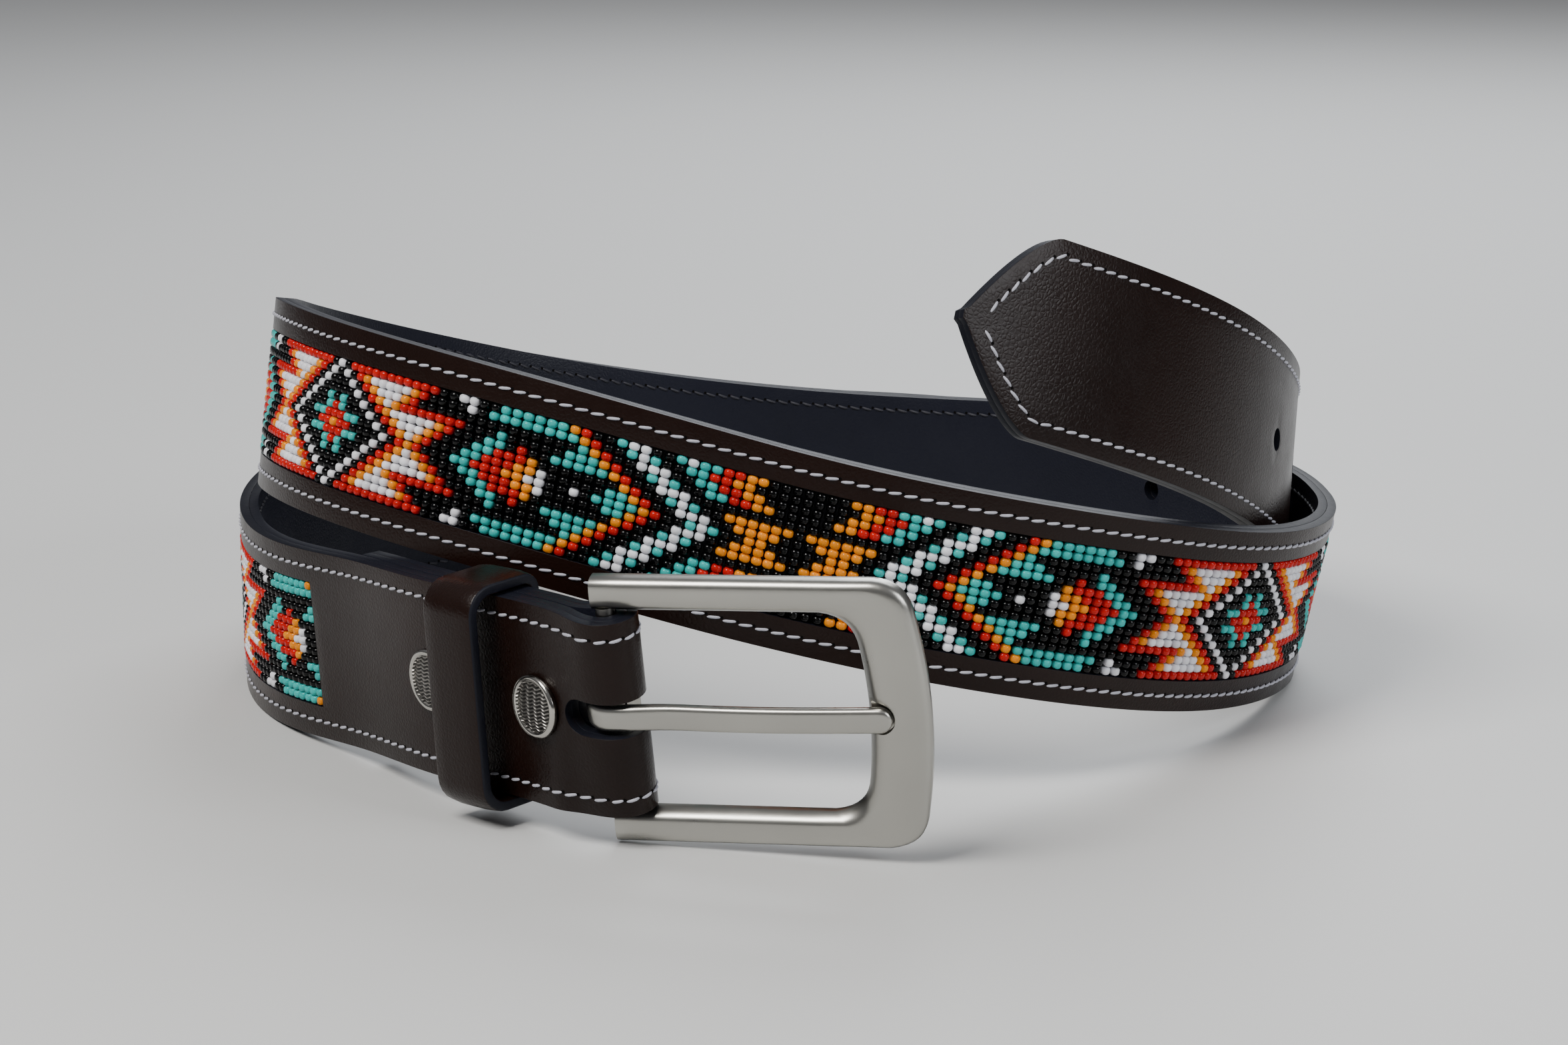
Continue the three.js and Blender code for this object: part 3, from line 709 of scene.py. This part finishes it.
# the upper row's line in flat places: along the strap, then inside the point's edge to its middle
def stitchLine():
    paths = np.linspace(pointFrom - stitches["lead"], tipPath, stitches["samples"])
    edge = np.stack([paths, pointHalf(paths)], 1)
    step = np.gradient(edge, axis=0)
    inward = np.stack([step[:, 1], -step[:, 0]], 1) / np.linalg.norm(step, axis=1, keepdims=True)
    line = edge + inward * stitches["inset"]
    onward = np.diff(line[:, 0], append=line[-1, 0] + 1) > -1e-6
    keep = (line[:, 1] > stitches["meet"]) & onward
    return [np.array((stitches["start"], line[0, 1]))] + list(line[keep])


# places and directions at one pitch along a line
def walkLine(points, pitch):
    marks = []
    left = 0.0
    for a, b in zip(points, points[1:]):
        span = np.linalg.norm(b - a)
        while left <= span:
            marks.append((a + (b - a) * left / span, math.atan2(b[1] - a[1], b[0] - a[0])))
            left += pitch
        left -= span
    return marks


# the outer side of the loop is longer than its middle, so stitches there are set closer
bendStretch = 1 + halfThickness / loopRadius
loopSpare = loopHalf * (bendStretch - 1)


def unrollLoop(point):
    path = point[0] * bendStretch if abs(point[0]) < loopHalf else point[0] + loopSpare
    return np.array((path, point[1]))


def rollLoop(mark):
    path = mark[0] - loopSpare if mark[0] > loopHalf * bendStretch else mark[0] / bendStretch
    return path, mark[1]


# one bowed stitch with a near-black disc at its end, painted shade for the needle hole; outward is 1 on the
# front and -1 on the back
def makeStitch(outward):
    bm = bmesh.new()
    bmesh.ops.create_uvsphere(bm, u_segments=8, v_segments=7, radius=1)
    bmesh.ops.rotate(bm, matrix=Matrix.Rotation(math.pi / 2, 3, "Y"), verts=bm.verts)
    for vert in bm.verts:
        vert.co.x = math.copysign(abs(vert.co.x) ** stitches["blunt"], vert.co.x)
    thread = stitches["thread"] / 2
    bmesh.ops.scale(bm, vec=(stitches["length"] / 2, thread, thread), verts=bm.verts)
    for vert in bm.verts:
        vert.co.z -= stitches["bow"] * (vert.co.x / stitches["length"] * 2) ** 2
        vert.co.z *= outward
    if outward < 0:
        bmesh.ops.reverse_faces(bm, faces=bm.faces)
    # the needle hole is a flat near-black disc: painted shade, not an opening
    made = bmesh.ops.create_circle(bm, cap_ends=True, segments=8, radius=stitches["hole"])
    lift = (stitches["holeLift"] - stitches["sink"]) * outward
    bmesh.ops.translate(bm, vec=(-stitches["pitch"] / 2, 0, lift), verts=made["verts"])
    hole = made["verts"][0].link_faces[0]
    hole.material_index = 1
    hole.normal_update()
    if hole.normal.z * outward < 0:
        hole.normal_flip()
    stitch = bpy.data.meshes.new("stitch")
    bm.to_mesh(stitch)
    bm.free()
    return stitch


def makeStitchRow(name, side, outward):
    stitch = makeStitch(outward)
    rise = (halfThickness + stitches["sink"]) * outward
    bm = bmesh.new()
    for mark, angle in walkLine([unrollLoop(point) for point in stitchLine()], stitches["pitch"]):
        path, away = rollLoop(mark)
        if outward < 0 and path < loopHalf + strap["fold"] + stitches["foldClearance"]:
            continue  # hidden under the folded end
        shorter = 1 / bendStretch if path < loopHalf else 1
        slant = Matrix.Rotation(side * angle - stitches["slant"], 4, "Z")
        seat = Matrix.Translation((path, side * away, rise)) @ slant @ Matrix.Diagonal((shorter, 1, 1, 1))
        stitch.transform(seat)
        bm.from_mesh(stitch)
        stitch.transform(seat.inverted())
    obj = pieceFrom(name, bm, [paleThread if outward > 0 else darkThread, needleHoleShade])
    wrapMesh(obj.data)
    smoothByAngle(obj.data, 70)
    finishPiece(obj, "strap")


for face, outward in (("front", 1), ("back", -1)):
    makeStitchRow(f"stitches_{face}_upper", 1, outward)
    makeStitchRow(f"stitches_{face}_lower", -1, outward)
print("beaded belt: stitched")


# one turned profile for each screw, from the plain back through the post to the engraved cap
def makeScrew(name, length, node):
    outer = legOffset + halfThickness + screws["proud"]
    cap, back = screws["cap"] / 2, screws["back"] / 2
    rim, tall = screws["rim"], screws["capHeight"]
    base = -outer - screws["backHeight"]
    profile = [
        (0, base), (back - 0.6, base), (back, -outer - 0.5), (back, -outer),
        (screws["post"] / 2, -outer), (screws["post"] / 2, outer),
        (cap - 0.2, outer), (cap, outer + 0.35), (cap, outer + tall * 0.6),
        (cap - 0.3, outer + tall * 0.86), (cap - 0.65, outer + tall * 0.92),
        (cap - rim, outer + tall * 0.8), (cap - rim - 0.25, outer + tall * 0.62),
        (cap * 0.6, outer + tall * 0.8), (cap * 0.3, outer + tall * 0.92), (0, outer + tall * 0.96),
    ]
    bm = bmesh.new()
    verts = [bm.verts.new((x, 0, z)) for x, z in profile]
    edges = [bm.edges.new(pair) for pair in zip(verts, verts[1:])]
    bmesh.ops.spin(bm, geom=verts + edges, cent=(0, 0, 0), axis=(0, 0, 1), angle=2 * math.pi,
                   steps=screws["sides"], use_merge=True)
    bmesh.ops.remove_doubles(bm, verts=bm.verts, dist=1e-4)
    bmesh.ops.recalc_face_normals(bm, faces=bm.faces)
    layer = bm.loops.layers.uv.new("capPlan")
    for face in bm.faces:
        centre = face.calc_center_median()
        onCap = centre.z > 0 and math.hypot(centre.x, centre.y) < cap - rim - 0.1
        face.material_index = 1 if onCap else 0
        for loop in face.loops:
            loop[layer].uv = (loop.vert.co.x / screws["planScale"], loop.vert.co.y / screws["planScale"])
    bm.transform(seatMatrix(length, -legOffset))
    obj = pieceFrom(name, bm, [brightNickel, capNickel])
    smoothByAngle(obj.data, 50)
    finishPiece(obj, "strap", [node])


for index, place in enumerate(screws["places"]):
    makeScrew(f"screwCap_{index + 1}", place, f"screw_{index + 1}")


keeper = {
    "place": 31.5, "width": 13, "wall": 2, "tall": 19.5, "back": -6.6, "front": 6.9,
    "backCorner": 1.4, "frontCorner": 3.6, "cornerSteps": 6, "crown": 0.35, "rounding": 0.45,
}


# the loop's outline in the plane across the strap, grown outwards by a margin
def keeperOutline(margin):
    tall, back, front = keeper["tall"] + margin, keeper["back"] - margin, keeper["front"] + margin
    corners = [(tall, front, keeper["frontCorner"], 0), (-tall, front, keeper["frontCorner"], 90),
               (-tall, back, keeper["backCorner"], 180), (tall, back, keeper["backCorner"], 270)]
    points = []
    for side, rise, radius, start in corners:
        radius += margin
        middle = (side - math.copysign(radius, side), rise - math.copysign(radius, rise))
        for step in range(keeper["cornerSteps"] + 1):
            angle = math.radians(start + step * 90 / keeper["cornerSteps"])
            points.append((middle[0] + radius * math.cos(angle), middle[1] + radius * math.sin(angle)))
    return points


def makeKeeper():
    bm = bmesh.new()
    half, wall = keeper["width"] / 2, keeper["wall"]
    crown = wall + keeper["crown"]
    # place along the strap, and margin
    stations = [(-half, 0.0), (-half, wall), (-half / 2, crown), (half / 2, crown),
                (half, wall), (half, 0.0), (0, 0.0)]
    rings = []
    for along, margin in stations:
        ring = [bm.verts.new((along, side, rise)) for side, rise in keeperOutline(margin)]
        rings.append([bm.edges.new((a, b)) for a, b in zip(ring, ring[1:] + ring[:1])])
    for a, b in zip(rings, rings[1:] + rings[:1]):
        bmesh.ops.bridge_loops(bm, edges=a + b)
    bmesh.ops.recalc_face_normals(bm, faces=bm.faces)
    for face in bm.faces:
        face.material_index = 1 if abs(face.normal.x) > 0.7 else 0  # cut edges are painted
    sharp = [e for e in bm.edges if len(e.link_faces) == 2 and e.calc_face_angle() > math.radians(50)]
    bmesh.ops.bevel(bm, geom=sharp, offset=keeper["rounding"], segments=3, profile=0.5,
                    affect="EDGES", material=-1)
    bm.transform(seatMatrix(keeper["place"], 0))
    return pieceFrom("keeperLeather", bm, [faceLeather, edgePaint])


keeperObj = makeKeeper()
smoothByAngle(keeperObj.data, 40)
finishPiece(keeperObj, "strap", ["keeper"])

# the tongue is one bar curled round the buckle's bar
tongue = {
    "half": 2.4, "eye": 3.65, "eyeThick": 2.9, "thick": 2.5, "reach": 51.4, "bow": 1.2, "under": 0.8,
    "settle": 14, "sides": 18, "square": 0.62, "curlFrom": -40, "curlTurn": 230, "curlSteps": 18,
    "bodyFrom": 1.5, "bodyTo": 48.5, "bodySteps": 26, "tipFrom": 49, "tipSteps": 7,
    "tipThick": 0.45, "tipHalf": 0.12,
}


# its middle line from the side: place forwards, height, thickness and share of its width
def tongueLine():
    line = []
    eye = tongue["eye"]
    for step in range(tongue["curlSteps"] + 1):
        angle = math.radians(tongue["curlFrom"] - step * tongue["curlTurn"] / tongue["curlSteps"])
        line.append((eye * math.cos(angle), eye * math.sin(angle), tongue["eyeThick"], 1.0))
    body = np.linspace(tongue["bodyFrom"], tongue["bodyTo"], tongue["bodySteps"])
    tip = np.linspace(tongue["tipFrom"], tongue["reach"], tongue["tipSteps"])
    for x in [*body, *tip]:
        rest = tongue["under"] + tongue["thick"] / 2 + tongue["bow"] * math.sin(math.pi * x / tongue["reach"])
        blend = (1 + math.cos(math.pi * min(1, x / tongue["settle"]))) / 2
        into = max(0, (x - (tongue["reach"] - tongue["half"])) / tongue["half"])
        narrow = math.sqrt(max(0, 1 - min(1, into) ** 2))
        thick = tongue["thick"] + (tongue["eyeThick"] - tongue["thick"]) * blend
        thick *= tongue["tipThick"] + (1 - tongue["tipThick"]) * narrow
        line.append((x, rest + (eye - rest) * blend, thick, max(tongue["tipHalf"], narrow)))
    return line


def makeTongue():
    bm = bmesh.new()
    line = tongueLine()
    rings = []
    for k, (x, z, thick, narrow) in enumerate(line):
        before, after = line[max(0, k - 1)], line[min(len(line) - 1, k + 1)]
        run = Vector((after[0] - before[0], after[1] - before[1])).normalized()
        ring = []
        for side in range(tongue["sides"]):
            angle = 2 * math.pi * side / tongue["sides"]
            across = math.copysign(abs(math.cos(angle)) ** tongue["square"], math.cos(angle))
            rise = math.copysign(abs(math.sin(angle)) ** tongue["square"], math.sin(angle)) * thick / 2
            ring.append(bm.verts.new((x - run.y * rise, across * tongue["half"] * narrow, z + run.x * rise)))
        rings.append(ring)
    loops = [[bm.edges.new((a, b)) for a, b in zip(ring, ring[1:] + ring[:1])] for ring in rings]
    for a, b in zip(loops, loops[1:]):
        bmesh.ops.bridge_loops(bm, edges=a + b)
    for ring in (rings[0], rings[-1]):
        bm.faces.new(ring)
    bmesh.ops.recalc_face_normals(bm, faces=bm.faces)
    bm.transform(buckleSeat())
    return pieceFrom("buckleTonguePin", bm, [satinNickel])


# the buckle's own place: x forwards from the bar, y across, z out
def buckleSeat():
    place, along, across, out = (v[0] for v in strapFrames(np.array([0.0])))
    centre = (place - out * legOffset + shift) * mm
    seat = Matrix([[-along[i], across[i], out[i], centre[i]] for i in range(3)] + [[0, 0, 0, 1]])
    return seat @ Matrix.Scale(mm, 4)


tongueObj = makeTongue()
smoothByAngle(tongueObj.data, 50)
finishPiece(tongueObj, "tongue", ["buckle_tongue"])

buckle = {
    "height": 52, "reach": 58, "tail": 2, "clearance": 0.5, "frontBar": 11.3, "bulge": 1.8, "corner": 7,
    "armSteps": 8, "cornerSteps": 8, "frontSteps": 14, "rounding": 0.25, "barExtra": 2.5,
    "notchTo": 51.8, "notchHeight": 6.2, "notchFloor": 0.5, "notchDepth": 6, "notchRunIn": 6,
    # share of the way from the outer outline to the inner one, and height out of the buckle's plane
    "section": [(0.0, -0.7), (0.0, 0.5), (0.03, 1.2), (0.1, 1.75), (0.2, 2.05), (0.36, 2.2), (0.55, 2.2),
                (0.7, 2.05), (0.8, 1.75), (0.88, 1.2), (0.97, 0.1), (1.0, -0.6), (1.0, -1.6), (0.93, -2.1),
                (0.5, -2.2), (0.08, -2.1), (0.01, -1.6)],
}


# one outline of the frame, from the lower arm's end round the front to the upper arm's end
def buckleOutline(reach, half, bulge):
    radius, tail = buckle["corner"], buckle["tail"]
    square = reach - bulge
    points = [(x, -half) for x in np.linspace(-tail, square - radius, buckle["armSteps"] + 1)[:-1]]
    corner = [(square - radius, -half), (square - radius * 0.1, -half + radius * 0.1),
              (square, -half + radius)]
    front = [(square, -half + radius), (square + 2 * bulge, 0), (square, half - radius)]
    for bend, steps in ((corner, buckle["cornerSteps"]), (front, buckle["frontSteps"])):
        a, b, c = (np.array(p) for p in bend)
        shares = np.linspace(0, 1, steps + 1)[:-1]
        points += [tuple((1 - t) ** 2 * a + 2 * t * (1 - t) * b + t * t * c) for t in shares]
    points += [(square, half - radius)]
    upper = [(x, -y) for x, y in reversed(points[:buckle["armSteps"] + buckle["cornerSteps"]])]
    return np.array(points + upper)


# the section is carried along both outlines at once, as rows of edges from the outer side to the inner one
def makeBuckleFrame():
    outer = buckleOutline(buckle["reach"], buckle["height"] / 2, buckle["bulge"])
    inside = halfWidth + buckle["clearance"]
    inner = buckleOutline(buckle["reach"] - buckle["frontBar"], inside, buckle["bulge"] / 2)
    bm = bmesh.new()
    share, rise = buckle["section"][0]
    first = [bm.verts.new((*(o + (i - o) * share), rise)) for o, i in zip(outer, inner)]
    chain = [bm.edges.new(pair) for pair in zip(first, first[1:])]
    edges = chain
    for share, rise in buckle["section"][1:]:
        grown = bmesh.ops.extrude_edge_only(bm, edges=edges)["geom"]
        edges = [g for g in grown if isinstance(g, bmesh.types.BMEdge)]
        verts = [g for g in grown if isinstance(g, bmesh.types.BMVert)]
        for vert, o, i in zip(orderAlong(verts), outer, inner):
            vert.co = (*(o + (i - o) * share), rise)
    bmesh.ops.bridge_loops(bm, edges=chain + edges)
    bmesh.ops.holes_fill(bm, edges=[e for e in bm.edges if e.is_boundary], sides=0)
    bmesh.ops.recalc_face_normals(bm, faces=bm.faces)
    return bm


# the chain's vertices in order, starting at the lower arm's end
def orderAlong(verts):
    chosen = set(verts)
    ends = [v for v in verts if sum(e.other_vert(v) in chosen for e in v.link_edges) == 1]
    start = min(ends, key=lambda v: v.co.y)
    ordered = [start]
    while len(ordered) < len(verts):
        here = ordered[-1]
        ordered.append(next(e.other_vert(here) for e in here.link_edges
                            if e.other_vert(here) in chosen and e.other_vert(here) not in ordered[-2:]))
    return ordered


def finishBuckle():
    obj = pieceFrom("buckleFrameCasting", makeBuckleFrame(), [satinNickel])
    radius = buckle["notchHeight"] / 2
    depth = buckle["notchDepth"]
    begin = buckle["reach"] - buckle["frontBar"] - buckle["notchRunIn"]
    end = buckle["notchTo"] - radius
    middle = buckle["notchFloor"] + depth / 2
    notch = bmesh.new()
    bmesh.ops.create_cone(notch, cap_ends=True, segments=32, radius1=radius, radius2=radius, depth=depth,
                          matrix=Matrix.Translation((end, 0, middle)))
    block = bmesh.new()
    bmesh.ops.create_cube(block, size=1, matrix=Matrix.Translation(((begin + end) / 2, 0, middle))
                          @ Matrix.Diagonal((end - begin, 2 * radius, depth, 1)))
    tools = [pieceFrom("notchEnd", notch, []), pieceFrom("notchBlock", block, [])]
    for tool in tools:
        addCut(obj, tool)
    addRounding(obj, buckle["rounding"], 2, 60)
    applyModifiers(obj)
    for tool in tools:
        bpy.data.objects.remove(tool)
    bar = bmesh.new()
    bmesh.ops.create_cone(bar, cap_ends=True, segments=24, radius1=barRadius, radius2=barRadius,
                          depth=strap["width"] + buckle["barExtra"],
                          matrix=Matrix.Rotation(math.pi / 2, 4, "X"))
    bar.from_mesh(obj.data)
    bar.transform(buckleSeat())
    bar.to_mesh(obj.data)
    bar.free()
    smoothByAngle(obj.data, 42)
    finishPiece(obj, "frame", ["buckle_frame"])


finishBuckle()
print("beaded belt: buckle and trim ready")

# floor, lights and camera; sizes here are in metres
studio = {
    "floor": (0.6, 0.6, 0.59, 1), "floorSize": 3, "floorRoughness": 0.6,
    "lights": [
        # name, place, target, size, watts, colour
        ("keyLight", (-0.5, -0.55, 0.95), (0, 0, 0.05), 0.5, 15, (1, 0.98, 0.95)),
        ("fillLight", (0.95, -0.6, 0.6), (0, 0, 0.05), 0.6, 7, (0.95, 0.97, 1)),
        ("backLight", (0.25, 0.9, 0.75), (0, 0, 0.05), 0.7, 10, (0.93, 0.96, 1)),
    ],
    "world": 0.26, "horizon": (0.3, 0.3, 0.32, 1), "overhead": (1, 1.02, 1.08, 1), "falloff": 0.8,
}

floorBm = bmesh.new()
bmesh.ops.create_grid(floorBm, x_segments=1, y_segments=1, size=studio["floorSize"])
floorMaterial, _, floorShader = startMaterial("paleFloor")
floorShader.inputs["Base Color"].default_value = studio["floor"]
floorShader.inputs["Roughness"].default_value = studio["floorRoughness"]
floorObj = pieceFrom("floor", floorBm, [floorMaterial])

# the world is brighter overhead than at the horizon
world = bpy.data.worlds.new("studio")
scene.world = world
world.use_nodes = True
sky = world.node_tree
facing = addNode(sky, "ShaderNodeTexCoord")
height = addNode(sky, "ShaderNodeSeparateXYZ")
sky.links.new(facing.outputs["Generated"], height.inputs[0])
climb = mathNode(sky, "POWER", mathNode(sky, "ABSOLUTE", height.outputs[2]), studio["falloff"], clamp=True)
skyColour = mixColour(sky, climb, studio["horizon"], studio["overhead"])
sky.links.new(skyColour, sky.nodes["Background"].inputs["Color"])
sky.nodes["Background"].inputs["Strength"].default_value = studio["world"]
for name, place, target, size, watts, colour in studio["lights"]:
    light = bpy.data.lights.new(name, "AREA")
    light.size = size
    light.energy = watts
    light.color = colour
    lamp = bpy.data.objects.new(name, light)
    lamp.location = place
    lamp.rotation_euler = (Vector(target) - Vector(place)).to_track_quat("-Z", "Y").to_euler()
    scene.collection.objects.link(lamp)

# place in millimetres, angles in degrees, focal length and image width in pixels
view = {
    "place": (21.9, -783.45, 222.3), "pitch": 13.43, "yaw": 1.60,
    "focal": 5879, "imageWidth": 2353, "sensor": 36,
}
camera = bpy.data.cameras.new("camera")
camera.sensor_width = view["sensor"]
camera.lens = view["focal"] / view["imageWidth"] * view["sensor"]
camera.clip_start = 0.01
cameraObj = bpy.data.objects.new("camera", camera)
turned = Matrix.Rotation(math.radians(view["yaw"]), 4, "Z")
tipped = Matrix.Rotation(math.radians(90 - view["pitch"]), 4, "X")
cameraObj.matrix_world = Matrix.Translation(Vector(view["place"]) * mm) @ turned @ tipped
scene.collection.objects.link(cameraObj)
scene.camera = cameraObj
